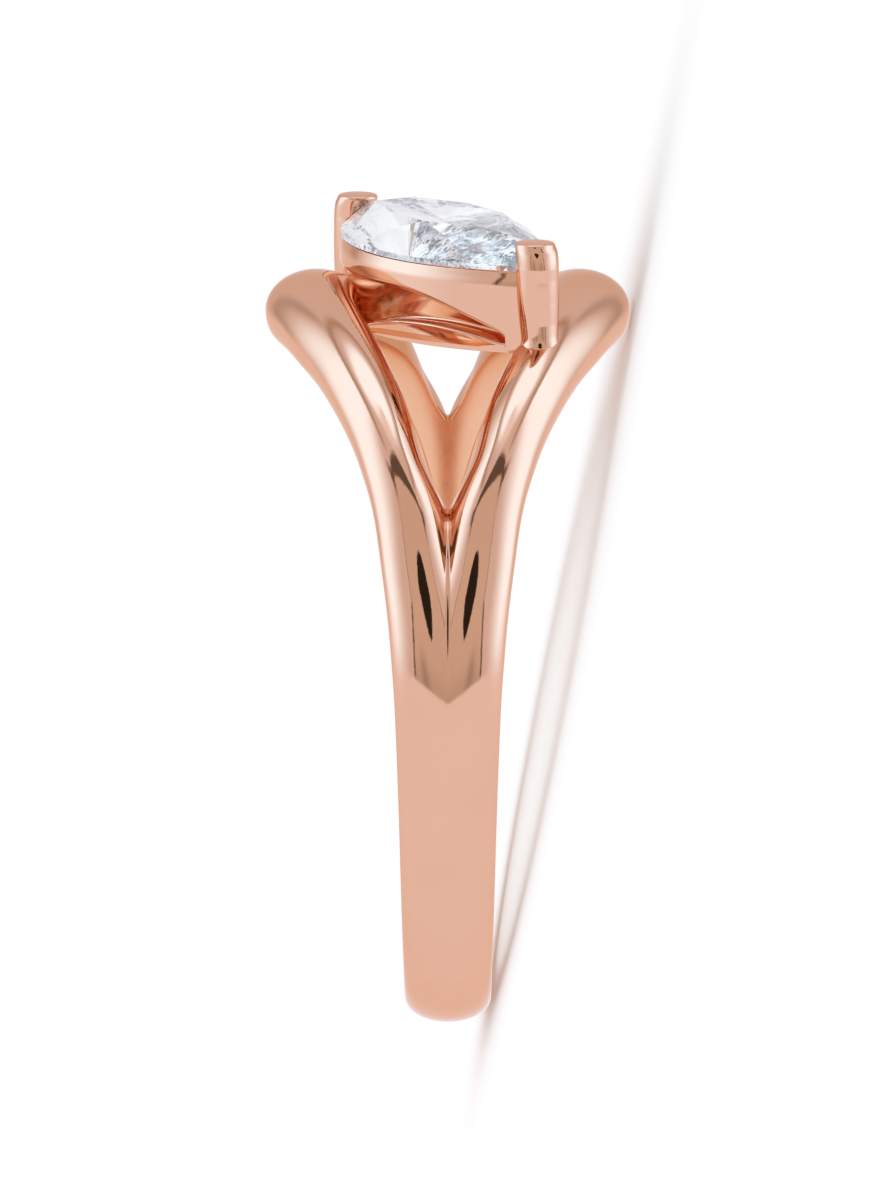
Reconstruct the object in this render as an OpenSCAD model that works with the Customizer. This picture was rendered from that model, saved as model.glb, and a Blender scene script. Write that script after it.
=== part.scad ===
// Solitaire engagement ring: a domed band that splits into two half-round
// strands, with a pointed-oval stone set diagonally in a basket between them.
// All sizes are in millimetres. The ring is drawn first in its own frame
// (finger axis along X, stone towards +Z) and then laid on its side.

/* [Band] */
// Inside diameter of the finger hole
finger_d = 16.9; // [16.4:0.1:17.6]
// Width of the plain band at the bottom
band_w = 2.36; // [2.0:0.05:3.0]
// Wall of the band at the bottom, at the crest of its dome
band_wall = 1.81; // [1.6:0.01:2.0]

/* [Strands] */
// Width across the two strands at the top of the ring
shoulder_w = 10.06; // [9.6:0.02:10.6]
// Wall at the crest of the strands, at the top of the ring
shoulder_wall = 2.07; // [1.9:0.01:2.2]
// Angle from the top of the ring at which the strands join
crotch_a = 56; // [55:0.1:57]
// Slope of the strands' inner sides
side_slope = 75; // [70:1:80]

/* [Head] */
// Turn of the long axis of the head away from the plane of the band
head_turn = 32.2; // [30:0.1:36]
// Length of the basket wall over its virtual tips
basket_l = 9.74; // [9.6:0.02:9.9]
// Width of the basket wall
basket_w = 4.58; // [4.5:0.02:4.7]
// Thickness of the basket's sides behind the recess
basket_wall = 1.30; // [1.2:0.05:1.4]
// Height of the top edge of the wall above the finger axis
lip_z = 11.18; // [11.0:0.01:11.3]
// Height of the recess's level top edge
window_z = 10.41; // [10.3:0.01:10.6]
// Height of the underside of the lower rail
rail_z = 8.91; // [8.86:0.01:9.0]
// Height of the lower rail where it is level
rail_h = 0.65; // [0.4:0.01:0.7]
// Distance of the opening in the base from the basket's outside
rail_t = 1.60; // [1.2:0.05:1.7]
// Depth of the recess in the side
recess_d = 0.75; // [0.6:0.05:0.8]
// Height of the top of the prongs
prong_z = 12.00; // [11.9:0.01:12.1]
// Thickness of a round prong
prong_w = 1.16; // [1.0:0.02:1.2]
// Distance of a prong's middle from the middle of the head
prong_s = 4.70; // [4.6:0.01:4.9]
// Sideways offset of the head from the plane of the band
head_x = -0.05; // [-0.1:0.01:0.1]

/* [Stone] */
// Length of the stone
stone_l = 9.66; // [9.5:0.02:9.7]
// Width of the stone
stone_w = 4.54; // [4.4:0.02:4.56]
// Height of the table
table_z = 12.17; // [12.1:0.01:12.25]
// Height of the lower edge of the girdle
girdle_z = 11.21; // [11.15:0.01:11.4]
// Thickness of the girdle
girdle_t = 0.14; // [0.08:0.01:0.2]
// Height of the point at the bottom of the stone
culet_z = 9.28; // [9.2:0.01:9.6]
// Gap left round the stone
stone_gap = 0.03; // [0.02:0.005:0.05]

/* [Hidden] */
$fn = 96;

bore_r = finger_d / 2;
core_r = bore_r - 0.55;
edge_r = bore_r - 0.12;   // where the rounded sides end, just inside the bore

// How the ring lies: it rests on the bulge of one strand and on the edge of
// the band, so its finger axis leans by lie_tilt from upright.
lie_tilt = 11.546;
lie_x = -1.122;
lie_z = 3.079;

// Sections of one strand, a row for each angle from the top of the ring.
// Past the crotch the inner edge runs under the other strand, and where it
// equals minus the outer edge the two strands are one dome.
ANG = 0;   // angle from the top
INN = 1;   // inner edge, from the plane of the band
OUT = 2;   // outer edge, from the plane of the band
CRE = 3;   // height of the crest above the bore
RIN = 4;   // height of the inner edge above the bore
ROU = 5;   // height of the outer edge above the bore
sw = shoulder_w / 2;
bw = band_w / 2;
sections = [
    //  ANG      INN         OUT        CRE            RIN    ROU
    [   0,      2.42,        sw,        shoulder_wall, 0.90,  1.00],
    [   6,      2.36,        sw - 0.18, 2.02,          0.88,  1.00],
    [  12,      2.16,        4.53,      1.94,          0.84,  1.00],
    [  18,      1.89,        4.19,      1.88,          0.80,  1.00],
    [  24,      1.60,        3.77,      1.85,          0.76,  1.00],
    [  30,      1.30,        3.39,      1.84,          0.72,  1.00],
    [  36,      1.03,      3.02,      1.84,          0.68,  1.00],
    [  42,      0.79,      2.67,      1.84,          0.64,  1.00],
    [  47,      0.59,      2.42,      1.84,          0.60,  1.00],
    [  50,      0.41,      2.29,      1.84,          0.57,  1.00],
    [  53,      0.21,      2.15,      1.84,          0.55,  1.00],
    [crotch_a,  0.00,      2.04,      1.84,          0.55,  1.00],
    [  58,     -0.07,      1.98,      1.83,          0.56,  1.01],
    [  61,     -0.145,     1.92,      1.83,          0.59,  1.01],
    [  64,     -0.26,      1.86,      1.83,          0.62,  1.02],
    [  67.5,   -0.34,      1.785,     1.83,          0.69,  1.03],
    [  71,     -0.45,      1.71,      1.83,          0.76,  1.04],
    [  77,     -0.645,     1.60,      1.82,          0.90,  1.05],
    [  82,     -0.81,      1.535,     1.82,          1.00,  1.06],
    [  87,     -1.11,      1.47,      1.82,          1.07,  1.07],
    [  92,     -1.43,      1.43,      1.82,          1.08,  1.08],
    [ 100,     -1.38,      1.38,      1.82,          1.08,  1.08],
    [ 124,     -1.28,      1.28,      band_wall,     1.10,  1.10],
    [ 152,     -bw - 0.02, bw + 0.02, band_wall,     1.12,  1.12],
    [ 180,     -bw,        bw,        band_wall,     1.12,  1.12]
];

// Smooth reading of a column of the table (cubic through the rows).
function row_at(a, i = 0) =
    i >= len(sections) - 2 || a < sections[i + 1][ANG] ? i : row_at(a, i + 1);
function slope(col, i) =
    i <= 0 || i >= len(sections) - 1 ? 0 :
    let (p = sections[i - 1], q = sections[i + 1]) (q[col] - p[col]) / (q[ANG] - p[ANG]);
function column(col, a) =
    let (i = row_at(a), p = sections[i], q = sections[i + 1],
         d = q[ANG] - p[ANG], t = (a - p[ANG]) / d,
         m0 = slope(col, i) * d, m1 = slope(col, i + 1) * d)
    (2 * t * t * t - 3 * t * t + 1) * p[col] + (t * t * t - 2 * t * t + t) * m0
    + (3 * t * t - 2 * t * t * t) * q[col] + (t * t * t - t * t) * m1;

function inner_at(a) =
    a >= 92 ? -column(OUT, a) : abs(a - crotch_a) < 0.01 ? 0 : column(INN, a);

// Angles of the sections, closer together where the strands join.
half_turn = concat([for (a = [0:3:45]) a], [47, 49, 50.5, 51.5, 52.5, 53.5, 54.7, crotch_a, 57, 58.2],
    [for (a = [60.5:3:87.5]) a], [for (a = [92:5.5:174.5]) a]);
turn = concat(half_turn, [180], [for (i = [len(half_turn) - 1:-1:1]) 360 - half_turn[i]]);
rings = len(turn);

dome_n = 9;    // steps over the dome
side_n = 3;    // steps down the outer side
gap_n = 3;     // steps up the side that faces the other strand
ring_n = dome_n + side_n + gap_n + 3;

// The dome's inner half ends where it gets as steep as the strands' inner
// sides, or at the plane of the band. u is that end, as a share of the half
// width, and [x, r] its place.
function steep(a) = tan(a < 12 ? 84 : a > 30 ? side_slope : 84 + (side_slope - 84) * (a - 12) / 18);
function half_w(a) = (column(OUT, a) - inner_at(a)) / 2;
function mid_x(a) = (column(OUT, a) + inner_at(a)) / 2;
function dome_h(a) = column(CRE, a) - column(RIN, a);
function end_u(a) = let (m = steep(a) * half_w(a) / dome_h(a))
    min(m / sqrt(1 + m * m), mid_x(a) / half_w(a));
function dome_end(a) = let (u = end_u(a))
    [flush(mid_x(a) - half_w(a) * u), bore_r + column(RIN, a) + dome_h(a) * sqrt(1 - u * u)];
function flush(x) = x < 0.03 ? 0 : x;

// Point j of the side that faces the other strand, from the dome's end down.
function gap_point(a, j) =
    let (e = dome_end(a), r = e[1] - (e[1] - edge_r) * min(j, gap_n) / gap_n)
    [flush(e[0] - (e[1] - r) / steep(a)), j > gap_n ? core_r : r];

// One point of a section, x from the plane of the band and r from the axis.
// k counts over the dome from its inner end, down the outer side, across
// inside the bore, and back up the inner side.
function eased(b) = (1 - cos(b)) / (1 - cos(68));
function section_point(a, k) =
    let (c = mid_x(a), w = half_w(a), xo = column(OUT, a),
         crest = bore_r + column(CRE, a),
         rim_in = bore_r + column(RIN, a), rim_out = bore_r + column(ROU, a),
         soft = 0.42)
    k == 0 ? dome_end(a) :
    k <= dome_n ?
        let (b0 = acos(max(-1, min(1, end_u(a)))),
             b = b0 + (180 - b0) * k / dome_n, u = -cos(b), rim = u < 0 ? rim_in : rim_out)
        [c + w * u, rim + (crest - rim) * sin(b)] :
    k <= dome_n + side_n ?
        let (b = 68 * (k - dome_n) / side_n)
        [xo - soft * eased(b), rim_out - (rim_out - edge_r) * sin(b) / sin(68)] :
    k == dome_n + side_n + 1 ? [xo - soft, core_r] :
        gap_point(a, ring_n - k);

function place(p, a, side) = [side * p[0], -p[1] * sin(a), p[1] * cos(a)];
function fold(a) = a > 180 ? 360 - a : a;
// Points that lie on the plane of the band serve both halves.
function shared(i, k) = let (a = fold(turn[i % rings]), kk = k % ring_n)
    kk == 0 ? dome_end(a)[0] == 0 :
    kk > dome_n + side_n + 1 && gap_point(a, ring_n - kk)[0] == 0;
function id(i, k, side) = let (ii = i % rings, kk = k % ring_n)
    (side > 0 || shared(ii, kk) ? 0 : rings * ring_n) + ii * ring_n + kk;

module band_and_strands() {
    points = [for (side = [1, -1]) for (i = [0:rings - 1]) for (k = [0:ring_n - 1])
        place(section_point(fold(turn[i]), k), turn[i], side)];
    // The side that faces the other strand is left out where they are joined.
    faces = [for (side = [1, -1]) for (i = [0:rings - 1]) for (k = [0:ring_n - 1])
        let (a = id(i, k, side), b = id(i, k + 1, side),
             c = id(i + 1, k + 1, side), d = id(i + 1, k, side),
             sa = shared(i, k), sb = shared(i, k + 1),
             sc = shared(i + 1, k + 1), sd = shared(i + 1, k))
        each [if (!(sa && sb && sc)) side > 0 ? [a, b, c] : [a, c, b],
              if (!(sa && sc && sd)) side > 0 ? [a, c, d] : [a, d, c]]];
    color([0.90, 0.68, 0.58])
    difference() {
        polyhedron(points, faces);
        rotate([0, 90, 0]) cylinder(h = 14, r = bore_r, center = true);
    }
}

// Outline of two equal arcs that meet in points, l long and w wide.
module pointed_oval(l, w) {
    r = (l * l + w * w) / (4 * w);
    intersection() {
        translate([0, r - w / 2]) circle(r = r, $fn = 240);
        translate([0, w / 2 - r]) circle(r = r, $fn = 240);
    }
}

// Recess in one long side, seen along the short way of the head: its top edge
// is level and then falls in a curve, its bottom edge is the top of the rail,
// which thins towards both ends.
function window_top(s) = window_z - (s > 0.6 ? 0.080 * (s - 0.6) * (s - 0.6) : 0);
function window_low(s) = rail_z + max(0.22,
    rail_h - (s > 1.95 ? 0.080 : 0.053) * (s - 1.95) * (s - 1.95));
win_a = -4.6;
win_b = 4.20;
module side_recess() {
    difference() {
        rotate([90, 0, 0]) linear_extrude(3)
            polygon(concat(
                [for (i = [0:16]) let (s = win_a + (win_b - win_a) * i / 16) [s, window_top(s)]],
                [for (i = [16:-1:0]) let (s = win_a + (win_b - win_a) * i / 16) [s, window_low(s)]]));
        translate([0, 0, rail_z - 1]) linear_extrude(4)
            pointed_oval(basket_l - 0.5, basket_w - 2 * recess_d);
    }
}

module basket() {
    color([0.88, 0.65, 0.55])
    difference() {
        translate([0, 0, rail_z]) linear_extrude(lip_z - rail_z) pointed_oval(basket_l, basket_w);
        translate([0, 0, rail_z + rail_h]) linear_extrude(4)
            pointed_oval(basket_l - 2.1 * basket_wall, basket_w - 2 * basket_wall);
        translate([0, 0, rail_z - 1]) linear_extrude(4)
            pointed_oval(basket_l - 2.1 * rail_t, basket_w - 2 * rail_t);
        side_recess();
    }
}

// Corner prong: a round post outside the tip of the stone, slimmer at its
// foot, whose top leans in over the tip.
module prong_slice(z, r, out = 0) {
    translate([prong_s + out, 0, z]) linear_extrude(0.02) circle(r = r, $fn = 32);
}
module prong() {
    r = prong_w / 2;
    hull() {
        prong_slice(8.90, 0.78 * r, 0.16);
        prong_slice(10.4, 0.97 * r, 0.02);
        prong_slice(11.35, r);
        prong_slice(prong_z - 0.30, 0.997 * r, -0.043);
        prong_slice(prong_z - 0.13, 0.966 * r, -0.11);
        prong_slice(prong_z - 0.02, 0.91 * r, -0.172);
    }
}
module prongs() {
    color([0.92, 0.70, 0.60])
    for (t = [0, 180]) rotate([0, 0, t]) prong();
}

// A point of the stone's outline, t turning from one tip through the other.
function oval_point(l, w, t) =
    let (r = (l * l + w * w) / (4 * w), m = asin(l / 2 / r),
         f = t <= 180 ? t : 360 - t, s = m * (1 - f / 90), y = r * cos(s) - r + w / 2)
    [r * sin(s), t <= 180 ? y : -y];
function oval_ring(l, w, z, n, t0) =
    [for (i = [0:n - 1]) let (p = oval_point(l, w, t0 + 360 * i / n)) [p[0], p[1], z]];

// Stone: table, star points, girdle, lower points and culet, each a ring.
module brilliant(g) {
    l = stone_l + 2 * g;
    w = stone_w + 2 * g;
    pts = concat(
        oval_ring(0.70 * l, 0.61 * w, table_z + g, 8, 0),
        oval_ring(0.86 * l, 0.82 * w, table_z - 0.29 * (table_z - girdle_z) + g, 8, 22.5),
        oval_ring(l, w, girdle_z + girdle_t, 32, 0),
        oval_ring(l, w, girdle_z, 32, 0),
        oval_ring(0.235 * l, 0.235 * w, culet_z + 0.23 * (girdle_z - culet_z) - g, 8, 22.5),
        [[0, 0, culet_z - 1.4 * g]]);
    hull() polyhedron(pts, [for (i = [0:len(pts) - 3]) [i, i + 1, i + 2]]);
}

module head_place() { translate([head_x, 0, 0]) rotate([0, 0, head_turn - 90]) children(); }
module lay() { translate([lie_x, 0, lie_z]) rotate([0, 90 - lie_tilt, 0]) children(); }

module mounting() {
    lay() {
        difference() {
            union() {
                band_and_strands();
                head_place() {
                    basket();
                    prongs();
                }
            }
            head_place() brilliant(stone_gap);
        }
    }
}

module diamond() {
    color([0.93, 0.95, 0.97])
    lay() head_place() brilliant(0);
}

mounting();
diamond();
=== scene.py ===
import bpy, bmesh, math
import numpy as np
from mathutils import Matrix, Vector


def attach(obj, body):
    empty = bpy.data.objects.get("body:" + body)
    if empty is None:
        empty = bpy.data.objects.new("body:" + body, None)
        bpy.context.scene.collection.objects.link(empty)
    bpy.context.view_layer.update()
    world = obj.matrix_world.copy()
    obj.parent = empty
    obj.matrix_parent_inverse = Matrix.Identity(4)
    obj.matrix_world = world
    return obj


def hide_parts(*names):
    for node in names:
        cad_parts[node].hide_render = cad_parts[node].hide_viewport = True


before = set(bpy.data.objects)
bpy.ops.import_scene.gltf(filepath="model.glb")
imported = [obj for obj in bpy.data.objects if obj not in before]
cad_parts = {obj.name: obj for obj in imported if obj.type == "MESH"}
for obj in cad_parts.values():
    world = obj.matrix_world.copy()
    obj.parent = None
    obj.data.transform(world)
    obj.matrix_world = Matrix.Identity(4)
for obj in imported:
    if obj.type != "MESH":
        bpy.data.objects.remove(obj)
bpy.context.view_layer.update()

scene = bpy.context.scene
MM = 0.001

# ---------------------------------------------------------------- the ring's own frame
# X along the finger axis, Z towards the stone; the ring then lies on its side.
TILT = math.radians(11.546)
LIE_X, LIE_Z = -1.122, 3.079
CT, ST = math.cos(TILT), math.sin(TILT)
BORE_R = 8.45


def to_row(p):
    """Millimetres in the ring's frame to metres in the row's frame."""
    p = np.asarray(p, float)
    x, y, z = p[..., 0], p[..., 1], p[..., 2]
    return np.stack([x * ST + z * CT + LIE_X, y, -x * CT + z * ST + LIE_Z], -1) * MM


def dir_row(d):
    x, y, z = d
    return Vector((x * ST + z * CT, y, -x * CT + z * ST))


# ---------------------------------------------------------------- small mesh helpers
def add_mesh(name, parts, materials, smooth=True, sharp=None):
    """One object from several closed shells given as (points in mm, faces,
    which material each face has, or one number for all)."""
    pts, faces, finish, base = [], [], [], 0
    for p, f, which in parts:
        finish += [which] * len(f) if isinstance(which, int) else list(which)
        p = np.asarray(p, float).reshape(-1, 3)
        pts.append(p)
        faces += [tuple(i + base for i in q) for q in f]
        base += len(p)
    me = bpy.data.meshes.new(name)
    me.from_pydata(to_row(np.concatenate(pts)).tolist(), [], faces)
    me.polygons.foreach_set("material_index", finish)
    me.validate(clean_customdata=False)
    bm = bmesh.new()
    bm.from_mesh(me)
    bmesh.ops.remove_doubles(bm, verts=bm.verts, dist=1e-7)
    bmesh.ops.dissolve_degenerate(bm, edges=bm.edges, dist=1e-8)
    bmesh.ops.recalc_face_normals(bm, faces=bm.faces)
    bm.to_mesh(me)
    bm.free()
    me.update()
    for p in me.polygons:
        p.use_smooth = smooth
    if sharp is not None:
        me.set_sharp_from_angle(angle=math.radians(sharp))
    ob = bpy.data.objects.new(name, me)
    bpy.context.collection.objects.link(ob)
    for m in materials:
        me.materials.append(m)
    return ob


def grid_faces(n, m, close_m=True, flip=False):
    """Quads between n rings of m points."""
    out = []
    for i in range(n - 1):
        for k in range(m if close_m else m - 1):
            a, b = i * m + k, i * m + (k + 1) % m
            c, d = (i + 1) * m + (k + 1) % m, (i + 1) * m + k
            out.append((a, b, c, d) if not flip else (d, c, b, a))
    return out


def loft(sections, cap=True):
    """Closed shell through equal rings of points, with a cap at each end."""
    s = np.asarray(sections, float)
    n, m = s.shape[:2]
    pts = s.reshape(-1, 3)
    faces = grid_faces(n, m)
    if cap:
        faces += [tuple(range(m - 1, -1, -1)), tuple((n - 1) * m + k for k in range(m))]
    return pts, faces


# ---------------------------------------------------------------- band and strands
SW, BW = 5.03, 1.18
#   angle   inner   outer      crest  inner rim  outer rim   (heights above the bore)
ROWS = [
    (0, 2.42, SW, 2.07, 0.90, 1.00),
    (6, 2.36, SW - 0.18, 2.02, 0.88, 1.00),
    (12, 2.16, 4.53, 1.94, 0.84, 1.00),
    (18, 1.89, 4.19, 1.88, 0.80, 1.00),
    (24, 1.60, 3.77, 1.85, 0.76, 1.00),
    (30, 1.30, 3.39, 1.84, 0.72, 1.00),
    (36, 1.03, 3.02, 1.84, 0.68, 1.00),
    (42, 0.79, 2.67, 1.84, 0.64, 1.00),
    (47, 0.59, 2.42, 1.84, 0.60, 1.00),
    (50, 0.41, 2.29, 1.84, 0.57, 1.00),
    (53, 0.21, 2.15, 1.84, 0.55, 1.00),
    (56, 0.00, 2.04, 1.84, 0.55, 1.00),
    (58, -0.07, 1.98, 1.83, 0.56, 1.01),
    (61, -0.145, 1.92, 1.83, 0.59, 1.01),
    (64, -0.26, 1.86, 1.83, 0.62, 1.02),
    (67.5, -0.34, 1.785, 1.83, 0.69, 1.03),
    (71, -0.45, 1.71, 1.83, 0.76, 1.04),
    (77, -0.645, 1.60, 1.82, 0.90, 1.05),
    (82, -0.81, 1.535, 1.82, 1.00, 1.06),
    (87, -1.25, 1.47, 1.82, 1.07, 1.07),
    (92, -1.43, 1.43, 1.82, 1.08, 1.08),
    (100, -1.38, 1.38, 1.82, 1.08, 1.08),
    (124, -1.28, 1.28, 1.81, 1.10, 1.10),
    (152, -BW - 0.02, BW + 0.02, 1.81, 1.12, 1.12),
    (180, -BW, BW, 1.81, 1.12, 1.12),
]
CROTCH = 56.0      # where the tops of the two strands meet
DRAFT = 75.0       # steepest slope of a strand's inner side
FILLET = 0.08      # half width of the rounded bottom of the valley between them


def spline(xs, ys, x):
    """Natural cubic spline, flat at both ends."""
    xs, ys = np.asarray(xs, float), np.asarray(ys, float)
    n = len(xs)
    h = np.diff(xs)
    A, B = np.zeros((n, n)), np.zeros(n)
    A[0, 0], A[0, 1], B[0] = 2 * h[0], h[0], 6 * (ys[1] - ys[0]) / h[0]
    A[-1, -1], A[-1, -2], B[-1] = 2 * h[-1], h[-1], -6 * (ys[-1] - ys[-2]) / h[-1]
    for i in range(1, n - 1):
        A[i, i - 1], A[i, i], A[i, i + 1] = h[i - 1], 2 * (h[i - 1] + h[i]), h[i]
        B[i] = 6 * ((ys[i + 1] - ys[i]) / h[i] - (ys[i] - ys[i - 1]) / h[i - 1])
    m = np.linalg.solve(A, B)
    j = np.clip(np.searchsorted(xs, x, side="right") - 1, 0, n - 2)
    t, hj = x - xs[j], h[j]
    b = (ys[j + 1] - ys[j]) / hj - hj * (2 * m[j] + m[j + 1]) / 6
    return ys[j] + b * t + m[j] * t * t / 2 + (m[j + 1] - m[j]) * t ** 3 / (6 * hj)


def soften(x, y, sigma):
    """Gaussian smoothing along the angle, mirrored at both ends."""
    g = np.linspace(x[0], x[-1], 1441)
    yy = np.interp(g, x, y)
    step = g[1] - g[0]
    r = int(4 * sigma / step)
    k = np.exp(-0.5 * (np.arange(-r, r + 1) * step / sigma) ** 2)
    k /= k.sum()
    pad = np.concatenate([yy[r:0:-1], yy, yy[-2:-r - 2:-1]])
    return np.interp(x, g, np.convolve(pad, k, "valid"))


fine = np.linspace(0, 180, 1441)
ang = [r[0] for r in ROWS]
col = {}
for i, nm in ((2, "out"), (3, "crest"), (4, "rin"), (5, "rout")):
    col[nm] = soften(fine, spline(ang, [r[i] for r in ROWS], fine), 2.2)
open_rows = [r for r in ROWS if r[0] <= CROTCH]
inn = np.interp(fine, *(lambda g: (g, spline([r[0] for r in open_rows] + [59.0], [r[1] for r in open_rows] + [-0.20], g)))(np.linspace(0, 59, 473)))
# past the join: how far the strand's middle stands off the band's plane, over its half width
rows_q = [r for r in ROWS if r[0] >= CROTCH and r[0] <= 92]
qq = [(r[1] + r[2]) / (r[2] - r[1]) for r in rows_q]
q_fine = np.where(fine <= 92, spline([r[0] for r in rows_q] + [100], qq + [0.0], np.clip(fine, CROTCH, 100)), 0.0)
q_fine = np.clip(q_fine, 0, 1)
q_soft = np.clip(soften(fine, q_fine, 1.6), 0, 1)
wq = np.clip((fine - CROTCH) / 4.0, 0, 1)
q_fine = q_fine * (1 - wq) + q_soft * wq
# middle and half width of a strand's dome, eased where the strands join
w_fine = np.where(fine < CROTCH, (col["out"] - np.interp(fine, fine, inn)) / 2, col["out"] / (1 + q_fine))
c_fine = np.where(fine < CROTCH, (col["out"] + np.interp(fine, fine, inn)) / 2, col["out"] - w_fine)
near_join = np.exp(-((fine - CROTCH) / 5.5) ** 2)
for nm, arr in (("mid", c_fine), ("wide", w_fine)):
    col[nm] = arr * (1 - near_join) + soften(fine, arr, 2.4) * near_join


def at(name, a):
    return float(np.interp(a, fine, col[name]))


N_A, N_B, N_C = 26, 6, 8          # inner half of the dome, side that faces the gap, its end
N_OUT, N_SIDE, N_FLAT = 22, 10, 12
BARREL = 0.25      # the inside is rounded for comfort: its edges lie this far off the bore


def bore_at(x, xo):
    return BORE_R + BARREL * (x / xo) ** 2


def section(a):
    """Half of the ring's section at angle a as (x, r), from the end of the
    inner side over the dome, down the outer side and back across the inside."""
    xo, crest = at("out", a), BORE_R + at("crest", a)
    rin, rout = BORE_R + at("rin", a), BORE_R + at("rout", a)
    c, w = at("mid", a), at("wide", a)
    g = float(np.interp(a, [66, 72, 80], [0.0, 0.10, 0.16]))

    def dome(u):
        """Across the dome, u from -1 at the inner foot to 1 at the outer one."""
        f = 0.5 + 0.5 * u
        f = f * f * (3 - 2 * f)
        rim = rin * (1 - f) + rout * f
        x = c + w * (u - g * u * u * (u < 0))
        return x, rim + (crest - rim) * np.sqrt(np.maximum(0, 1 - u * u))
    # inner half, cut off where it gets steeper than the draft
    us = -np.sin(np.linspace(0, math.pi / 2, 400))
    x, r = dome(us)
    sl = np.gradient(r, x)
    steep = math.tan(math.radians(float(np.interp(a, [12, 30], [84.0, DRAFT]))))
    over = np.nonzero(sl > steep)[0]
    n_t = int(over[0]) if len(over) else len(x) - 1
    x_t, r_t = float(x[n_t]), float(r[n_t])
    low = BORE_R + 0.0
    x_low = x_t - (r_t - low) / steep
    closed = x_low <= FILLET / 2
    fil = min(FILLET, 0.8 * c)
    inner = []
    if closed and c < 0.004:
        inner = [(0.0, crest)] * (1 + N_A + N_B + N_C)
        end = (0.0, BORE_R)
    elif closed:
        xd = x[:n_t + 1]
        x_a = max(fil, x_t)
        i_a = int(np.nonzero(xd >= x_a - 1e-9)[0][-1])
        for f in np.linspace(0, 1, N_A + 1):
            inner.append(tuple(float(v) for v in (np.interp(f * i_a, range(len(x)), x), np.interp(f * i_a, range(len(x)), r))))
        inner[-1] = (x_a, float(np.interp(-x_a, -x, r)))
        # down the straight side to where the rounded bottom begins, and round it
        line = lambda xx: float(np.interp(-xx, -xd, r[:n_t + 1])) if xx >= x_t else r_t - (x_t - xx) * steep
        for f in np.linspace(0, 1, N_B + 1)[1:]:
            xx = x_a + (fil - x_a) * f
            inner.append((xx, line(xx)))
        s0 = (line(0.1 * fil) - line(0.0)) / (0.1 * fil)
        for f in np.linspace(0, 1, N_C + 1)[1:]:
            xx = fil * (1 - f)
            inner.append((xx if f < 1 else 0.0, max(line(xx) + s0 * (fil - xx) ** 2 / (2 * fil), BORE_R + 0.01)))
        end = (0.0, BORE_R)
    else:
        rr = 0.02
        for f in np.linspace(0, 1, N_A + 1):
            inner.append(tuple(float(v) for v in (np.interp(f * n_t, range(len(x)), x), np.interp(f * n_t, range(len(x)), r))))
        for f in np.linspace(0, 1, N_B + 1)[1:]:
            z = r_t + (low + rr - r_t) * f
            inner.append((x_t - (r_t - z) / steep, z))
        x_e = inner[-1][0]
        for f in np.linspace(0, 1, N_C + 1)[1:]:
            b = math.pi / 2 * f
            xx = x_e + rr * (1 - math.cos(b))
            inner.append((xx, low + rr * (1 - math.sin(b)) + BARREL * (xx / xo) ** 2))
        end = inner[-1]
    pts = inner[::-1]
    for f in np.linspace(0, 1, N_OUT + 1)[1:]:
        xx, z = dome(np.array(math.sin(math.pi / 2 * f)))
        pts.append((float(xx), float(z)))
    soft = 0.42
    r_out = bore_at(xo - soft, xo)
    for k in range(1, N_SIDE + 1):
        b = math.pi / 2 * k / N_SIDE
        pts.append((xo - soft * (1 - math.cos(b)), rout - (rout - r_out) * math.sin(b)))
    for k in range(1, N_FLAT + 1):
        f = k / N_FLAT
        xx = (xo - soft) * (1 - f) + end[0] * f
        pts.append((xx, bore_at(xx, xo)) if k < N_FLAT else end)
    return pts


step_a = list(np.arange(0, 45, 0.9)) + list(np.arange(45, 50.5, 0.6)) + list(np.arange(50.5, 57.5, 0.25)) \
    + list(np.arange(57.5, 60, 0.6)) + list(np.arange(60, 92, 0.9)) + list(np.arange(92, 179, 1.5)) + [180.0]
half = [float(a) for a in step_a]
turn = half + [360 - a for a in reversed(half[1:-1])]
prof = {a: section(a) for a in half}
M_ = len(prof[0.0])
R_ = len(turn)


def fold(a):
    return a if a <= 180 else 360 - a


def key(a):
    return min(half, key=lambda h: abs(h - fold(a)))


def finish_or_painted_light_of(i, k):
    """Polished outside; satin inside the finger hole and low on the sides that
    face each other across the opening, its base colour lighter as painted light;
    the rest of those sides on the near half get a much paler base colour, painted light."""
    if k >= M_ - N_FLAT - 3:
        return 1
    if fold(turn[i]) < 55 and k < N_C + N_B:
        return 2 if turn[i] < 180 and k >= N_C + 3 else 1
    return 0


def band_shell():
    pts, faces, which = [], [], []
    ks = [key(a) for a in turn]
    for side in (1, -1):
        for i, a in enumerate(turn):
            s, c = math.sin(math.radians(a)), math.cos(math.radians(a))
            for x, r in prof[ks[i]]:
                pts.append((side * x, -r * s, r * c))
    on_plane = lambda i, k: abs(prof[ks[i]][k][0]) < 1e-9

    def pid(i, k, side):
        i, k = i % R_, k % M_
        return (0 if side > 0 or on_plane(i, k) else R_ * M_) + i * M_ + k
    for side in (1, -1):
        for i in range(R_):
            for k in range(M_):
                q = [(i, k), (i, k + 1), (i + 1, k + 1), (i + 1, k)]
                if all(on_plane(a % R_, b % M_) for a, b in q):
                    continue
                ids = [pid(a, b, side) for a, b in q]
                if side < 0:
                    ids = ids[::-1]
                near = any(on_plane(a % R_, b % M_) for a, b in q)
                for tri in ((0, 1, 2), (0, 2, 3)) if near else ((0, 1, 2, 3),):
                    f = [ids[t] for t in tri]
                    g = [q[t] for t in tri]
                    if len(set(f)) < len(f) or all(on_plane(a % R_, b % M_) for a, b in g):
                        continue
                    faces.append(tuple(f))
                    which.append(finish_or_painted_light_of(i, k))
    return np.array(pts), faces, which


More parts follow.
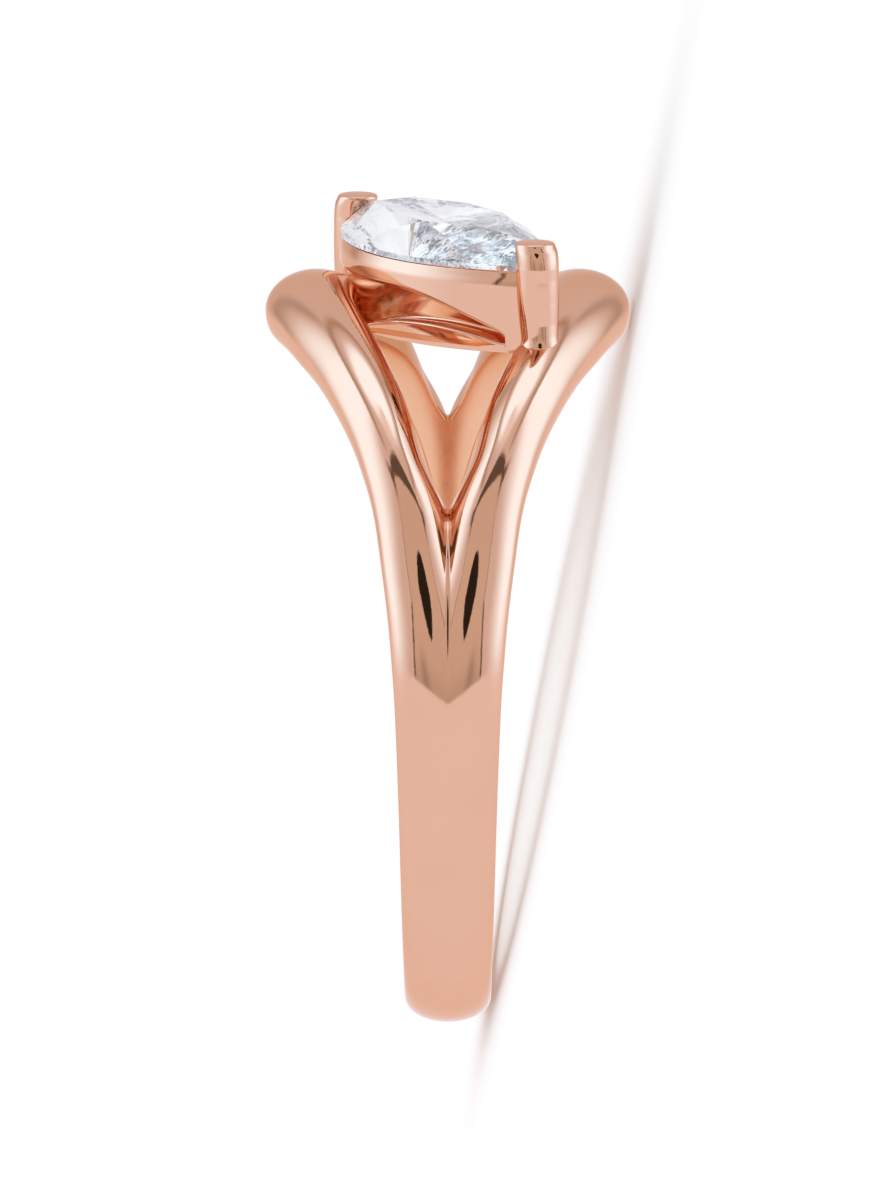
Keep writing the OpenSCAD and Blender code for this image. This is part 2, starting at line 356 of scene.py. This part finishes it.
# ---------------------------------------------------------------- head
HEAD = math.radians(32.2 - 90)
BL, BWD, WALL = 9.74, 4.58, 0.42
LIP, WIN, RAIL, RAIL_H = 11.18, 10.41, 8.91, 0.65
WIN_A, WIN_B = -4.6, 4.20
HEAD_X = -0.05


def head_pts(p):
    p = np.asarray(p, float)
    c, s = math.cos(HEAD), math.sin(HEAD)
    q = p.copy()
    q[..., 0] = p[..., 0] * c - p[..., 1] * s + HEAD_X
    q[..., 1] = p[..., 0] * s + p[..., 1] * c
    return q


def oval_y(l, w, s):
    """Half width of a pointed oval at s along it."""
    r = (l * l + w * w) / (4 * w)
    return max(0.0, math.sqrt(max(r * r - s * s, 0)) - (r - w / 2)) if abs(s) < l / 2 else 0.0


def win_top(s):
    return WIN - (0.08 * (s - 0.6) ** 2 if s > 0.6 else 0)


def win_low(s):
    return RAIL + max(0.22, RAIL_H - (0.080 if s > 1.95 else 0.053) * (s - 1.95) ** 2)


def window_edges(s):
    """Top and bottom of the window at s, closing in a round end."""
    t, l = win_top(s), win_low(s)
    mid = l + 0.42 * (t - l)
    r = 0.24
    f = 1.0
    if s > WIN_B - r:
        f = math.sqrt(max(0.0, 1 - min(1.0, (s - WIN_B + r) / r) ** 2))
    return mid + (t - mid) * f, mid + (l - mid) * f


def arc(cx, cz, r, a0, a1, n):
    """Points of an arc, angles in degrees from the outward direction."""
    return [(cx + r * math.cos(math.radians(a0 + (a1 - a0) * i / (n - 1))),
             cz + r * math.sin(math.radians(a0 + (a1 - a0) * i / (n - 1)))) for i in range(n)]


def lean(z):
    """The upper part of the wall leans in towards the stone."""
    f = max(0.0, z - (LIP - 0.38))
    return 0.02 - f * f / 1.75


def wall_strip(side, windowed):
    """One long side of the basket from tip to tip."""
    ss = sorted(set([round(float(x), 4) for x in np.linspace(-4.68, 4.68, 131)]
                    + [round(float(x), 4) for x in np.linspace(WIN_B - 0.26, WIN_B + 0.02, 15)]))
    rings = []
    for s in ss:
        yo = oval_y(BL, BWD, s)
        yi = oval_y(BL - 2.1 * WALL, BWD - 2 * WALL, s)
        closed = yi < 1e-3
        if closed:
            yi = -0.02
        lo = RAIL + 0.05
        if windowed and WIN_A < s < WIN_B:
            lo = window_edges(s)[0]
        elif windowed and s >= WIN_B:
            lo = RAIL + 0.12
        if not windowed:
            lo = RAIL
        th = yo - yi
        r1 = min(0.13, 0.4 * th) if windowed and WIN_A < s < WIN_B else 0.002
        r2 = 0.002 if closed else min(0.09, 0.3 * th)
        sec = arc(yo + lean(lo) - r1, lo + r1, r1, -90, 0, 6)
        sec += [(yo + lean(z), z) for z in np.linspace(lo + r1, LIP - 0.05, 18)[1:]]
        top = yo + lean(LIP - 0.05)
        sec += arc(top - 0.045, LIP - 0.045, 0.045, 20, 90, 5)
        zi = LIP - 0.05 if closed else LIP - 0.36
        sec += [(top - 0.045 + (yi - top + 0.045) * f, LIP + (zi - LIP) * f) for f in (0.35, 0.7, 1.0)]
        sec += [(yi, zi + (lo + r2 - zi) * f) for f in (0.3, 0.65, 1.0)]
        sec += arc(yi + r2, lo + r2, r2, 180, 270, 5)[1:]
        rings.append([(s, side * u, v) for u, v in sec])
    pts, faces = loft(rings)
    return head_pts(pts), faces


def rail_strip(side, windowed):
    """The rail on one side: its face tucks in downwards, its inside edge is
    the slender opening in the basket's base."""
    ss = sorted(set([round(float(x), 4) for x in np.linspace(-4.68, 4.68, 121)]
                    + [round(float(x), 4) for x in np.linspace(WIN_B - 0.26, WIN_B + 0.02, 13)]))
    rings = []
    for s in ss:
        yo = oval_y(BL, BWD, s) - (0.0 if windowed else 0.03)
        yi = oval_y(BL - 2.1 * 1.6, BWD - 3.2, s)
        closed = yi < 1e-3
        if closed:
            yi = -0.02
        top = win_low(s)
        if windowed and s > WIN_B - 0.26:
            top = window_edges(min(s, WIN_B))[1]
        th = yo - yi
        tuck = min(0.16, 0.3 * th)
        r1, r2 = min(0.08, 0.25 * th), min(0.07, 0.25 * th)
        r3 = 0.002 if closed else min(0.06, 0.3 * th)
        sec = arc(yo - tuck - r1, RAIL + r1, r1, -90, -22, 5)
        zz = np.linspace(RAIL + r1 * 0.7, top - r2, 9)
        for z in zz[1:]:
            f = (z - RAIL) / (top - RAIL)
            sec.append((yo - tuck * (1 - f) ** 1.35, z))
        sec += arc(yo - r2, top - r2, r2, 0, 90, 6)[1:]
        sec += [(yo + (yi - yo) * f, top - 0.02 * f) for f in (0.4, 0.7)]
        sec += arc(yi + r3, top - 0.02 - r3, r3, 90, 180, 4)
        sec += arc(yi + r3, RAIL + r3, r3, 180, 270, 4)
        rings.append([(s, side * u, v) for u, v in sec])
    pts, faces = loft(rings)
    return head_pts(pts), faces


def recess_strip():
    """Hollowed back of the recess in the near long side: it stands on the rail
    and curves forward to the underside of the wall."""
    ss = [float(s) for s in np.linspace(-4.66, WIN_B + 0.04, 120)]
    rings = []
    for s in ss:
        yo = oval_y(BL, BWD, s)
        t, l = win_top(s) + 0.03, win_low(s) - 0.03
        if s > WIN_B - 0.26:
            e = window_edges(min(s, WIN_B))
            t, l = e[0] + 0.03, e[1] - 0.03
        d = min(0.72, 0.62 * yo) * (1 - 0.55 * min(1.0, max(0.0, (-s - 0.3) / 2.6)))
        top = 0.66 * d
        f1, f2 = min(0.10, 0.3 * (t - l)), min(0.06, 0.2 * (t - l))
        front = [(yo - 0.3 * d, l)]
        front += [(yo - d + f1 * (1 - math.cos(b)), l + f1 * (1 - math.sin(b))) for b in np.linspace(math.pi / 2, 0, 6)]
        zz = np.linspace(l + f1, t - f2, 9)[1:]
        front += [(yo - d + (d - top) * (z - l - f1) / (t - f2 - l - f1), z) for z in zz]
        front += [(yo - top + f2 * (1 - math.cos(b)), t - f2 * (1 - math.sin(b))) for b in np.linspace(0, math.pi / 2, 5)[1:]]
        front += [(yo - 0.3 * d, t)]
        behind = [(max(0.0, u - 0.07), v + 0.02) for u, v in front[::-1]]
        rings.append([(s, -u, v) for u, v in front + behind])
    pts, faces = loft(rings)
    return head_pts(pts), faces


def prong(turned):
    """Round post, slimmer at its foot, whose top leans in over the stone's tip."""
    PS, TOP, rr = 4.70, 12.0, 0.08
    zt = [11.10, 11.35, 11.42, 11.55, 11.69, 11.811, 11.886, 11.972, 12.02]
    levels = []

    def level(z, r, s):
        levels.append([(s + r * math.cos(2 * math.pi * i / 72), r * math.sin(2 * math.pi * i / 72), z) for i in range(72)])

    def axis(z):
        lean_ = float(spline(zt, [0, 0, 0.004, 0.018, 0.042, 0.080, 0.117, 0.168, 0.200], np.array(z))) if z > 11.35 else 0.0
        return PS + float(np.interp(z, [8.9, 9.8, 10.4, 11.0], [0.16, 0.06, 0.02, 0.0])) - lean_

    def radius(z):
        if z > 11.35:
            return float(spline(zt, [0.58, 0.58, 0.58, 0.58, 0.578, 0.570, 0.558, 0.528, 0.500], np.array(z)))
        k = float(spline([8.9, 9.3, 9.8, 10.4, 11.0, 12.1], [0.78, 0.845, 0.92, 0.98, 1.0, 1.0], np.array(z)))
        foot = 0.075 * math.exp(-max(0.0, z - 9.20) / 0.10)
        return 0.58 * k + foot
    for z in np.linspace(8.90, 11.35, 50):
        level(z, radius(z), axis(z))
    for z in np.linspace(11.35, TOP - rr, 40)[1:]:
        level(z, radius(z), axis(z))
    r_top, s = radius(TOP - rr), axis(TOP - rr)
    for b in np.linspace(0, 90, 6)[1:]:
        b = math.radians(b)
        level(TOP - rr + rr * math.sin(b), r_top - rr * (1 - math.cos(b)), s - 0.01 * math.sin(b))
    for f, dz in ((0.85, 0.004), (0.6, 0.010), (0.3, 0.014)):
        level(TOP + dz, (r_top - rr) * f, s - 0.01)
    pts, faces = loft(levels)
    if turned:
        pts = pts * np.array([-1, -1, 1])
    return head_pts(pts), faces


# ---------------------------------------------------------------- stone
def stone_mesh(g=0.0):
    l, w = 9.66 + 2 * g, 4.54 + 2 * g
    r = (l * l + w * w) / (4 * w)
    m = math.asin(l / 2 / r)
    table_z, gz, gt, culet = 12.17, 11.21, 0.14, 9.28

    def pt(kl, kw, t, z):
        t = t % 360
        ll, ww = kl * l, kw * w
        rr = (ll * ll + ww * ww) / (4 * ww)
        mm = math.asin(ll / 2 / rr)
        f = t if t <= 180 else 360 - t
        a = mm * (1 - f / 90)
        y = rr * math.cos(a) - rr + ww / 2
        return (rr * math.sin(a), y if t <= 180 else -y, z)
    crown = table_z - gz - gt
    P = []
    P += [pt(0.68, 0.60, 22.5 + 45 * i, table_z + g) for i in range(8)]
    P += [pt(0.82, 0.78, 45 * i, table_z - 0.34 * crown + g * 0.8) for i in range(8)]
    P += [pt(1, 1, 360 / 64 * i, gz + gt) for i in range(64)]
    P += [pt(1, 1, 360 / 64 * i, gz) for i in range(64)]
    P += [pt(0.56, 0.50, 22.5 + 45 * i, gz - 0.47 * (gz - culet) - g) for i in range(8)]
    P += [(0, 0, culet - 1.4 * g)]
    me = bpy.data.meshes.new("stone")
    bm = bmesh.new()
    for p in P:
        bm.verts.new(to_row(head_pts(np.array(p)[None])[0]))
    bmesh.ops.convex_hull(bm, input=bm.verts)
    loose = [v for v in bm.verts if not v.link_faces]
    if loose:
        bmesh.ops.delete(bm, geom=loose, context="VERTS")
    bmesh.ops.dissolve_limit(bm, angle_limit=math.radians(1.2), verts=bm.verts, edges=bm.edges)
    bmesh.ops.recalc_face_normals(bm, faces=bm.faces)
    bm.to_mesh(me)
    bm.free()
    return me


# ---------------------------------------------------------------- materials
def nodes_of(mat):
    mat.use_nodes = True
    nt = mat.node_tree
    nt.nodes.clear()
    return nt, nt.nodes, nt.links


def gold_material(name, base=(0.795, 0.450, 0.300), rough=(0.025, 0.060), lines=0.05, along=None,
                  edge=(0.93, 0.74, 0.62)):
    """Polished rose gold: faint hairlines and slow changes of tone and polish;
    the optional paler end along the head is painted light.
    """
    mat = bpy.data.materials.new(name)
    nt, N, L = nodes_of(mat)
    out = N.new("ShaderNodeOutputMaterial")
    b = N.new("ShaderNodeBsdfPrincipled")
    b.inputs["Metallic"].default_value = 1.0
    b.inputs["Specular Tint"].default_value = (*edge, 1)
    tc = N.new("ShaderNodeTexCoord")
    slow = N.new("ShaderNodeTexNoise")
    slow.inputs["Scale"].default_value = 260.0
    slow.inputs["Detail"].default_value = 3.0
    L.new(tc.outputs["Object"], slow.inputs["Vector"])
    ramp = N.new("ShaderNodeValToRGB")
    ramp.color_ramp.elements[0].position = 0.30
    ramp.color_ramp.elements[1].position = 0.72
    ramp.color_ramp.elements[0].color = (base[0] * 0.975, base[1] * 0.965, base[2] * 0.955, 1)
    ramp.color_ramp.elements[1].color = (min(1, base[0] * 1.015), base[1] * 1.02, base[2] * 1.03, 1)
    L.new(slow.outputs["Fac"], ramp.inputs["Fac"])
    if along is None:
        L.new(ramp.outputs["Color"], b.inputs["Base Color"])
    else:
        # painted light: the base colour turns paler towards one end of the head
        axis, start, end, tone = along
        dot = N.new("ShaderNodeVectorMath")
        dot.operation = "DOT_PRODUCT"
        dot.inputs[1].default_value = axis
        L.new(tc.outputs["Object"], dot.inputs[0])
        where = N.new("ShaderNodeMapRange")
        where.interpolation_type = "SMOOTHSTEP"
        where.inputs["From Min"].default_value = start
        where.inputs["From Max"].default_value = end
        L.new(dot.outputs["Value"], where.inputs["Value"])
        painted_light_blend = N.new("ShaderNodeMix")
        painted_light_blend.data_type = "RGBA"
        painted_light_blend.inputs[6].default_value = (*tone, 1)
        L.new(where.outputs["Result"], painted_light_blend.inputs[0])
        L.new(ramp.outputs["Color"], painted_light_blend.inputs[7])
        L.new(painted_light_blend.outputs[2], b.inputs["Base Color"])
    # hairlines left by polishing
    mp = N.new("ShaderNodeMapping")
    mp.inputs["Scale"].default_value = (900.0, 6500.0, 6500.0)
    mp.inputs["Rotation"].default_value = (0.3, 0.5, 0.2)
    L.new(tc.outputs["Object"], mp.inputs["Vector"])
    hair = N.new("ShaderNodeTexNoise")
    hair.inputs["Scale"].default_value = 1.0
    hair.inputs["Detail"].default_value = 4.0
    hair.inputs["Roughness"].default_value = 0.6
    L.new(mp.outputs["Vector"], hair.inputs["Vector"])
    rr = N.new("ShaderNodeMapRange")
    rr.inputs["From Min"].default_value = 0.35
    rr.inputs["From Max"].default_value = 0.75
    rr.inputs["To Min"].default_value = rough[0]
    rr.inputs["To Max"].default_value = rough[1]
    L.new(hair.outputs["Fac"], rr.inputs["Value"])
    L.new(rr.outputs["Result"], b.inputs["Roughness"])
    bump = N.new("ShaderNodeBump")
    bump.inputs["Strength"].default_value = lines
    bump.inputs["Distance"].default_value = 0.00002
    L.new(hair.outputs["Fac"], bump.inputs["Height"])
    L.new(bump.outputs["Normal"], b.inputs["Normal"])
    L.new(b.outputs["BSDF"], out.inputs["Surface"])
    return mat


def diamond_material(name):
    mat = bpy.data.materials.new(name)
    nt, N, L = nodes_of(mat)
    out = N.new("ShaderNodeOutputMaterial")
    b = N.new("ShaderNodeBsdfPrincipled")
    b.inputs["Transmission Weight"].default_value = 1.0
    b.inputs["IOR"].default_value = 2.2
    b.inputs["Specular Tint"].default_value = (1.0, 0.84, 0.70, 1)
    tc = N.new("ShaderNodeTexCoord")
    n = N.new("ShaderNodeTexNoise")
    n.inputs["Scale"].default_value = 700.0
    n.inputs["Detail"].default_value = 2.0
    L.new(tc.outputs["Object"], n.inputs["Vector"])
    rr = N.new("ShaderNodeMapRange")
    rr.inputs["From Min"].default_value = 0.3
    rr.inputs["From Max"].default_value = 0.8
    rr.inputs["To Min"].default_value = 0.0
    rr.inputs["To Max"].default_value = 0.02
    L.new(n.outputs["Fac"], rr.inputs["Value"])
    L.new(rr.outputs["Result"], b.inputs["Roughness"])
    ramp = N.new("ShaderNodeValToRGB")
    ramp.color_ramp.elements[0].color = (0.97, 0.975, 0.985, 1)
    ramp.color_ramp.elements[1].color = (1.0, 1.0, 1.0, 1)
    L.new(n.outputs["Fac"], ramp.inputs["Fac"])
    L.new(ramp.outputs["Color"], b.inputs["Base Color"])
    L.new(b.outputs["BSDF"], out.inputs["Surface"])
    return mat


def pavilion_material(name):
    """The facets below the girdle return nearly all the light that reaches
    them, so they get a bright mirror finish."""
    mat = bpy.data.materials.new(name)
    nt, N, L = nodes_of(mat)
    out = N.new("ShaderNodeOutputMaterial")
    b = N.new("ShaderNodeBsdfPrincipled")
    b.inputs["Metallic"].default_value = 1.0
    tc = N.new("ShaderNodeTexCoord")
    n = N.new("ShaderNodeTexNoise")
    n.inputs["Scale"].default_value = 900.0
    n.inputs["Detail"].default_value = 2.0
    L.new(tc.outputs["Object"], n.inputs["Vector"])
    rr = N.new("ShaderNodeMapRange")
    rr.inputs["From Min"].default_value = 0.3
    rr.inputs["From Max"].default_value = 0.8
    rr.inputs["To Min"].default_value = 0.01
    rr.inputs["To Max"].default_value = 0.05
    L.new(n.outputs["Fac"], rr.inputs["Value"])
    L.new(rr.outputs["Result"], b.inputs["Roughness"])
    ramp = N.new("ShaderNodeValToRGB")
    ramp.color_ramp.elements[0].color = (0.925, 0.93, 0.945, 1)
    ramp.color_ramp.elements[1].color = (0.965, 0.97, 0.98, 1)
    L.new(n.outputs["Fac"], ramp.inputs["Fac"])
    L.new(ramp.outputs["Color"], b.inputs["Base Color"])
    L.new(b.outputs["BSDF"], out.inputs["Surface"])
    return mat


gold = gold_material("rose_gold_polished")
# satin inside: the higher roughness is the satin finish; the lighter base colour is painted light for light reflected
# several times inside the ring
satin = gold_material("rose_gold_inside_painted_light", base=(0.870, 0.490, 0.295), rough=(0.16, 0.20), lines=0.015,
                      edge=(0.80, 0.55, 0.40))
# painted light: a much paler copy of the gold for the upper sides that face each other on the near half, standing in
# for light reflected between the strands
bright = gold_material("rose_gold_sides_painted_light", base=(0.975, 0.860, 0.750), rough=(0.10, 0.13), lines=0.02,
                       edge=(1.0, 0.93, 0.86))
# recess: a deeper orange base is painted shade inside the recess, turning paler towards one end of the head as painted
# light
long_axis = dir_row((math.cos(HEAD), math.sin(HEAD), 0))
head_mid = float(long_axis.dot(Vector(to_row([HEAD_X, 0, 9.9]).tolist())))
recess_painted_shade_and_light = gold_material("rose_gold_recess_painted_shade_and_light", base=(0.800, 0.430, 0.260), rough=(0.13, 0.17), lines=0.02,
                       along=(long_axis, head_mid - 0.0008, head_mid + 0.0022, (1.0, 0.840, 0.730)),
                       edge=(1.0, 0.90, 0.80))
clear = diamond_material("clear_stone")
back = pavilion_material("clear_stone_pavilion")

# ---------------------------------------------------------------- the pieces
def strip_with_recess_shade(shell, inside):
    """The underside of the wall and the top of the rail take the recess gold, with its painted shade and light."""
    pts, faces = shell
    m = len(faces[-1])
    which = [3 if inside(j % m, m) else 0 for j in range(len(faces) - 2)] + [0, 0]
    return pts, faces, which


# faces take the polished gold or the satin, bright and recess golds, whose base colours are painted light and shade
shells = [band_shell(), (*recess_strip(), 3),
          strip_with_recess_shade(wall_strip(-1, True), lambda k, m: k == m - 1), (*wall_strip(1, False), 0),
          strip_with_recess_shade(rail_strip(-1, True), lambda k, m: 17 <= k <= 19), (*rail_strip(1, False), 0)]
mount = add_mesh("mounting_metal", shells, (gold, satin, bright, recess_painted_shade_and_light), smooth=True, sharp=40)

# the basket's edge and tips stay just clear of the stone that lies on them
seat = stone_mesh(0.02)
normals = np.array([list(p.normal) for p in seat.polygons])
offsets = np.array([p.normal.dot(p.center) for p in seat.polygons])
co = np.zeros(len(mount.data.vertices) * 3)
mount.data.vertices.foreach_get("co", co)
co = co.reshape(-1, 3)
depth = co @ normals.T - offsets
nearest, depth = depth.argmax(1), depth.max(1)
co[depth < 0] -= depth[depth < 0, None] * normals[nearest[depth < 0]]
mount.data.vertices.foreach_set("co", co.reshape(-1))
mount.data.update()
bpy.data.meshes.remove(seat)

prongs = add_mesh("prongs_tmp", [(*prong(False), 0), (*prong(True), 0)], (gold,), smooth=True, sharp=50)

# the seat that each prong has for the stone's tip
cut_me = stone_mesh(0.03)
cutter = bpy.data.objects.new("seat_cutter", cut_me)
bpy.context.collection.objects.link(cutter)
bo = prongs.modifiers.new("seat", "BOOLEAN")
bo.operation = "DIFFERENCE"
bo.solver = "EXACT"
bo.object = cutter
bpy.context.view_layer.update()
dg = bpy.context.evaluated_depsgraph_get()
cut = bpy.data.meshes.new_from_object(prongs.evaluated_get(dg))
prongs.modifiers.clear()
prongs.data = cut
for p in cut.polygons:
    p.use_smooth = True
cut.set_sharp_from_angle(angle=math.radians(40))
bpy.data.objects.remove(cutter)
bpy.ops.object.select_all(action="DESELECT")
prongs.select_set(True)
mount.select_set(True)
bpy.context.view_layer.objects.active = mount
bpy.ops.object.join()
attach(mount, "root")
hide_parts("mounting")

stone_me = stone_mesh()
stone = bpy.data.objects.new("stone_cut", stone_me)
bpy.context.collection.objects.link(stone)
stone_me.materials.append(clear)
stone_me.materials.append(back)
stone_up = dir_row((0, 0, 1))
for p in stone_me.polygons:
    p.use_smooth = False
    p.material_index = 1 if p.normal.dot(stone_up) < -0.05 else 0
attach(stone, "root")
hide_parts("diamond")

# ---------------------------------------------------------------- camera
E = math.radians(10.5)
view_dir = dir_row((0, -math.cos(E), math.sin(E)))     # from the ring to the camera
up_dir = dir_row((0, math.sin(E), math.cos(E)))
right_dir = dir_row((1, 0, 0))
centre = Vector(to_row([0, 0, 0]).tolist())
PX = 1.0 / 36.4 * MM
aim = centre + up_dir * ((648.5 - 600.0) * PX) + right_dir * ((448.0 - 447.8) * PX)
DIST = 0.9
cam = bpy.data.cameras.new("camera")
cam_ob = bpy.data.objects.new("camera", cam)
bpy.context.collection.objects.link(cam_ob)
cam.sensor_fit = "VERTICAL"
cam.sensor_height = 36.0
cam.lens = 36.0 * DIST / (1200.0 * PX)
cam.clip_start, cam.clip_end = 0.05, 20.0
R = Matrix((right_dir, up_dir, view_dir)).transposed().to_4x4()
cam_ob.matrix_world = Matrix.Translation(aim + view_dir * DIST) @ R
scene.camera = cam_ob

# ---------------------------------------------------------------- stage and light
def plain(name, colour, rough=0.9):
    m = bpy.data.materials.new(name)
    nt, N, L = nodes_of(m)
    o = N.new("ShaderNodeOutputMaterial")
    b = N.new("ShaderNodeBsdfPrincipled")
    b.inputs["Roughness"].default_value = rough
    b.inputs["Specular IOR Level"].default_value = 0.1
    b.inputs["Base Color"].default_value = (*colour, 1)
    L.new(b.outputs["BSDF"], o.inputs["Surface"])
    return m


fm = bpy.data.meshes.new("floor")
S = 6.0
fm.from_pydata([(-S, -S, 0), (S, -S, 0), (S, S, 0), (-S, S, 0)], [], [(0, 1, 2, 3)])
fm.materials.append(plain("floor_white", (0.93, 0.93, 0.93)))
floor = bpy.data.objects.new("floor", fm)
bpy.context.collection.objects.link(floor)
floor.location.z = -0.00001
floor.visible_glossy = False

w = bpy.data.worlds.new("studio")
scene.world = w
w.use_nodes = True
bg = w.node_tree.nodes["Background"]
bg.inputs["Color"].default_value = (1.0, 1.0, 1.0, 1)
bg.inputs["Strength"].default_value = 1.0

# a soft key from above for the floor and a faint contact shadow
def area(name, loc, target, size, power, glossy=False):
    l = bpy.data.lights.new(name, "AREA")
    l.shape = "DISK"
    l.size = size
    l.energy = power
    o = bpy.data.objects.new(name, l)
    bpy.context.collection.objects.link(o)
    o.location = loc
    o.rotation_euler = (Vector(target) - Vector(loc)).to_track_quat("-Z", "Y").to_euler()
    o.visible_glossy = glossy
    return o


area("key", (0.3, -0.5, 2.2), (0, 0, 0), 3.2, 9.0)


# What the metal and the stone reflect: a sphere that only reflections and the
# light in the stone see, with its brightness set per vertex. Angles are in the
# ring's frame, az from the photographer's side and el towards the stone.
def sstep(a, b, x):
    t = min(1.0, max(0.0, (x - a) / (b - a)))
    return t * t * (3 - 2 * t)


def mix(a, b, f):
    return tuple(p * (1 - f) + q * f for p, q in zip(a, b))


TABLE = (0.987, 1.018, 1.14)          # the white table
WALL_ = (0.80, 0.80, 0.86)            # pale walls of the room
ROOM = (0.735, 0.690, 0.660)          # the room behind the camera, warmer and dimmer
SOFT = (1.30, 1.90, 2.56)             # soft boxes left and right, and overhead
FRAME_ = (0.10, 0.075, 0.055)         # dark frame round the room's opening
LENS = (0.03, 0.025, 0.02)            # the camera


def studio(az, el):
    a = abs(az)
    # pale wall, a little darker behind the soft boxes and above them
    c = mix(WALL_, tuple(v * 0.72 for v in WALL_), math.exp(-((a - 138) / 6.0) ** 2) * (1 - sstep(45, 60, el)))
    # soft boxes
    start = 47 - 8 * math.exp(-((el - 6) / 9.0) ** 2)
    box = sstep(start, 92, a) * (1 - sstep(104, 136, a)) * (1 - 0.75 * sstep(38, 56, el) * (1 - sstep(60, 86, a)))
    c = mix(c, SOFT, box * (1 - sstep(55.5, 58.5, el)))
    # a brown gap under the light overhead, which reaches lower at the back
    gap = 61 - 3.5 * sstep(80, 120, a)
    c = mix(c, (0.52, 0.47, 0.44), math.exp(-((el - gap) / 2.6) ** 2) * sstep(42, 60, a))
    low = 73 - 9 * sstep(45, 110, a)
    c = mix(c, mix((1.05, 1.15, 1.35), SOFT, sstep(30, 100, a)), sstep(low - 2, low + 7, el))
    # the room's opening, its frame and the camera in it
    if el < 18:
        half = 37.5 - 0.2 * (el + 4)
    elif el < 46:
        half = 33.1 + 0.43 * (el - 18)
    else:
        half = 45.1 * math.sqrt(max(0.0, 1 - ((el - 46) / 14.5) ** 2))
    arch = 46 + 14.5 * math.sqrt(max(0.0, 1 - (a / 45.1) ** 2))
    inside = (1 - sstep(half - 0.8, half + 0.8, a)) if el < 60.6 else 0.0
    room = mix(tuple(v * 0.86 for v in ROOM), ROOM, sstep(-6, 8, el))
    streak = math.exp(-((a - 19) / 6.0) ** 2) * (1 - sstep(0, 12, el))
    c = mix(c, tuple(v * (1 - 0.30 * streak) for v in room), inside)
    side = math.exp(-((a - half + 0.4) / 1.5) ** 2) * (1 - sstep(15, 21, el)) * sstep(-5.5, -4, el)
    faint = 0.55 * math.exp(-((a - half + 0.4) / 0.9) ** 2) * sstep(17, 21, el) * (1 - sstep(38, 45, el))
    side = max(side, faint)
    corner = math.exp(-(((a - 45.0) / 3.0) ** 2 + ((el - 48) / 5.0) ** 2))
    deep = 12.5 * (1 - (a / 70) ** 2) if a < 69 else 0.01
    top = sstep(-0.8, 0.8, el - arch) * (1 - sstep(0.75 * deep, 1.1 * deep, el - arch)) * (1 - sstep(46, 62, a))
    c = mix(c, FRAME_, min(1.0, max(0.97 * side, 0.85 * corner, 0.93 * top)))
    width = 13.0 * (math.sqrt(max(0.0, 1 - ((el - 27) / 13.5) ** 2)) if el > 27 else max(0.0, 1 - (27 - el) / 14.5) ** 0.6)
    c = mix(c, LENS, 1 - sstep(width - 0.7, width + 0.7, a) if 12.6 < el < 40.8 else 0.0)
    # the table begins sharply in front and softly at the sides
    wide = sstep(42, 70, a)
    on = sstep(-6.3 - 7 * wide, -5.0 + 7 * wide, el)
    return mix(TABLE, c, on)


def through_stone(az, el):
    """What the light inside the stone comes from: bright all round, with soft
    steps that give the facets their greys."""
    a = math.radians(az)
    e = math.radians(el)
    v = 0.98 + 0.09 * math.sin(3 * a + 0.7) * math.cos(e) + 0.08 * math.sin(7 * a + 2.1 * math.sin(5 * e)) * math.cos(e) ** 2 \
        + 0.06 * math.sin(9 * e + 1.3) - 0.15 * math.exp(-((az - 10) / 26.0) ** 2 - ((el - 32) / 20.0) ** 2)
    v = min(1.45, max(0.66, 1.10 * v - 0.09 * math.sin(a)))
    c = (v * 0.985, v * 0.978, v * 0.970)
    brown = math.exp(-((az + 75) / 14.0) ** 2 - ((el - 30) / 10.0) ** 2)
    return mix(c, (0.40, 0.27, 0.20), min(1.0, 1.3 * brown))


def surround(name, light, in_stone):
    azs = np.concatenate([np.arange(-180, -60, 2.0), np.arange(-60, 60, 0.75), np.arange(60, 180.01, 2.0)])
    els = np.concatenate([[-90, -60, -40, -30], np.arange(-24, -12, 2.0), np.arange(-12, 75, 0.75), np.arange(75, 90.1, 2.5)])
    R0 = 420.0 if in_stone else 430.0
    A, E_ = np.meshgrid(np.radians(azs), np.radians(els))
    pts = np.stack([R0 * np.sin(A) * np.cos(E_), -R0 * np.cos(A) * np.cos(E_), R0 * np.sin(E_)], -1).reshape(-1, 3)
    vals = [(*light(a, e), 1.0) for e in els for a in azs]
    n, m = len(els), len(azs)
    faces = [(i * m + j, i * m + j + 1, (i + 1) * m + j + 1, (i + 1) * m + j) for i in range(n - 1) for j in range(m - 1)]
    me = bpy.data.meshes.new(name)
    me.from_pydata(to_row(pts).tolist(), [], faces)
    at_ = me.color_attributes.new("glow", "FLOAT_COLOR", "POINT")
    at_.data.foreach_set("color", np.array(vals, dtype=np.float32).reshape(-1))
    mat = bpy.data.materials.new(name + "_glow")
    nt, N, L = nodes_of(mat)
    o = N.new("ShaderNodeOutputMaterial")
    ca = N.new("ShaderNodeVertexColor")
    ca.layer_name = "glow"
    em = N.new("ShaderNodeEmission")
    L.new(ca.outputs["Color"], em.inputs["Color"])
    L.new(em.outputs["Emission"], o.inputs["Surface"])
    mat.cycles.emission_sampling = "NONE"
    me.materials.append(mat)
    ob = bpy.data.objects.new(name, me)
    bpy.context.collection.objects.link(ob)
    ob.visible_camera = False
    ob.visible_diffuse = False
    ob.visible_shadow = False
    ob.visible_volume_scatter = False
    ob.visible_glossy = not in_stone
    ob.visible_transmission = in_stone
    return ob


surround("studio_room", studio, False)
surround("studio_stone", through_stone, True)

scene.view_settings.view_transform = "Standard"
scene.view_settings.look = "None"
scene.cycles.max_bounces = 32
scene.cycles.glossy_bounces = 24
scene.cycles.transmission_bounces = 16
scene.cycles.transparent_max_bounces = 16
scene.cycles.caustics_reflective = True
scene.cycles.caustics_refractive = False
